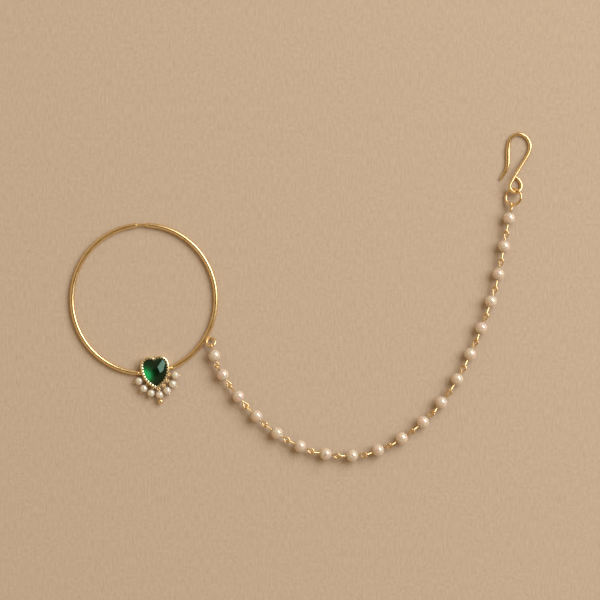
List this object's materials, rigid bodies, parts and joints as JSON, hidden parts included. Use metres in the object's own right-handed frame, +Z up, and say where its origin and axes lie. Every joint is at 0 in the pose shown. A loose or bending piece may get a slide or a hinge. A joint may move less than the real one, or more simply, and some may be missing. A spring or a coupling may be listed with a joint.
{
  "type": "nose ring with pearl chain",
  "caption": "Open gold hoop nose ring with a green heart setting, a fringe of small pearls and a pearl chain ending in a hair hook, lying flat.",
  "frame": {"origin": "centre of the heart setting's flat back, on the surface that the piece lies on", "axes": "+X from the hoop towards the far end of the chain, +Y from the setting through the hoop to its opening, +Z up from the surface"},
  "size_m": [0.1249, 0.089, 0.0035],
  "materials": {
    "gold": "polished",
    "pearl": "pearly",
    "emerald": "polished"
  },
  "bodies": {
    "root": {"hoop_and_setting": "gold", "heart_stone": "emerald", "fringe_pearl_1": "pearl", "fringe_pearl_2": "pearl", "fringe_pearl_3": "pearl", "fringe_pearl_4": "pearl", "fringe_pearl_5": "pearl", "fringe_pearl_6": "pearl", "fringe_pearl_7": "pearl", "chain_pearl_01": "pearl", "chain_pearl_02": "pearl", "chain_pearl_03": "pearl", "chain_pearl_04": "pearl", "chain_pearl_05": "pearl", "chain_pearl_06": "pearl", "chain_pearl_07": "pearl", "chain_pearl_08": "pearl", "chain_pearl_09": "pearl", "chain_pearl_10": "pearl", "chain_pearl_11": "pearl", "chain_pearl_12": "pearl", "chain_pearl_13": "pearl", "chain_pearl_14": "pearl", "chain_pearl_15": "pearl", "chain_pearl_16": "pearl", "chain_pearl_17": "pearl", "chain_pearl_18": "pearl", "chain_pearl_19": "pearl", "eye_pin_01": "gold", "eye_pin_02": "gold", "eye_pin_03": "gold", "eye_pin_04": "gold", "eye_pin_05": "gold", "eye_pin_06": "gold", "eye_pin_07": "gold", "eye_pin_08": "gold", "eye_pin_09": "gold", "eye_pin_10": "gold", "eye_pin_11": "gold", "eye_pin_12": "gold", "eye_pin_13": "gold", "eye_pin_14": "gold", "eye_pin_15": "gold", "eye_pin_16": "gold", "eye_pin_17": "gold", "eye_pin_18": "gold", "eye_pin_19": "gold", "hook_ring": "gold", "hair_hook": "gold"}
  },
  "joints": []
}
